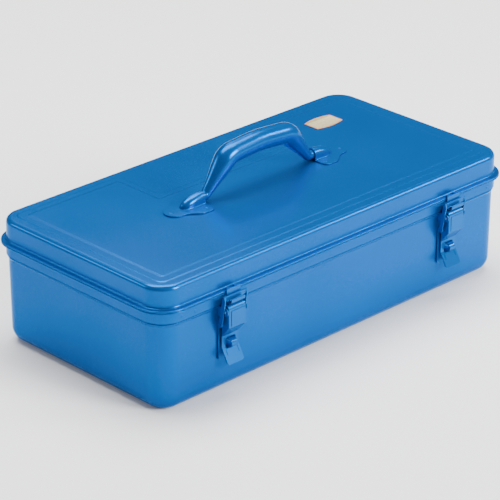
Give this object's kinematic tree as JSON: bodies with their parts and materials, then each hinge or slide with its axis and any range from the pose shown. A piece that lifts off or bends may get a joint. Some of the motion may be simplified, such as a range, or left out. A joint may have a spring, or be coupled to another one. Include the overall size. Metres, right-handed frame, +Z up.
{
  "type": "metal tool box",
  "caption": "Blue pressed-steel tool box with rounded corners, a hinged lid with a rolled hem, a folding bail handle and draw latches with padlock eyes.",
  "frame": {"origin": "middle of the flat base of the body", "axes": "+X along the length to the right as seen from the latches, +Y to the lid hinges at the back, +Z up"},
  "size_m": [0.3888, 0.2095, 0.1498],
  "materials": {
    "blue_enamel": "satin metallic blue stoved enamel",
    "latch_enamel": "the same blue enamel over stamped latch and hinge parts, slightly glossier",
    "label_foil": "pale gold printed foil"
  },
  "bodies": {
    "body": {"body_shell": "blue_enamel", "rim_frame": "blue_enamel", "left_hinge_body_leaf": "latch_enamel", "right_hinge_body_leaf": "latch_enamel", "left_hinge_pin": "latch_enamel", "right_hinge_pin": "latch_enamel", "left_latch_base": "latch_enamel", "right_latch_base": "latch_enamel", "left_latch_pin": "latch_enamel", "right_latch_pin": "latch_enamel"},
    "lid": {"lid_shell": "blue_enamel", "label": "label_foil", "left_handle_bracket": "blue_enamel", "right_handle_bracket": "blue_enamel", "left_hinge_lid_leaf": "latch_enamel", "right_hinge_lid_leaf": "latch_enamel", "left_latch_keeper": "latch_enamel", "right_latch_keeper": "latch_enamel"},
    "handle": {"handle": "blue_enamel"},
    "left_lever": {"left_latch_lever": "latch_enamel"},
    "left_bail": {"left_latch_bail": "latch_enamel"},
    "right_lever": {"right_latch_lever": "latch_enamel"},
    "right_bail": {"right_latch_bail": "latch_enamel"}
  },
  "joints": [
    {"name": "lid_hinge", "type": "hinge", "parent": "body", "child": "lid", "pos_m": [0, 0.1017, 0.0856], "axis": [-1, 0, 0], "range_deg": [0, 105]},
    {"name": "handle_swing", "type": "hinge", "parent": "lid", "child": "handle", "pos_m": [0, 0, 0.1113], "axis": [1, 0, 0], "range_deg": [-80, 80]},
    {"name": "left_lever_hinge", "type": "hinge", "parent": "body", "child": "left_lever", "pos_m": [-0.122, -0.1009, 0.0713], "axis": [-1, 0, 0], "range_deg": [0, 120]},
    {"name": "left_bail_hinge", "type": "hinge", "parent": "left_lever", "child": "left_bail", "pos_m": [-0.122, -0.0974, 0.0598], "axis": [-1, 0, 0], "range_deg": [-70, 0]},
    {"name": "right_lever_hinge", "type": "hinge", "parent": "body", "child": "right_lever", "pos_m": [0.122, -0.1009, 0.0713], "axis": [-1, 0, 0], "range_deg": [0, 120]},
    {"name": "right_bail_hinge", "type": "hinge", "parent": "right_lever", "child": "right_bail", "pos_m": [0.122, -0.0974, 0.0598], "axis": [-1, 0, 0], "range_deg": [-70, 0]}
  ],
  "couplings": [
    {"joint": "left_bail_hinge", "follows": "left_lever_hinge", "ratio": -0.58},
    {"joint": "right_bail_hinge", "follows": "right_lever_hinge", "ratio": -0.58}
  ]
}
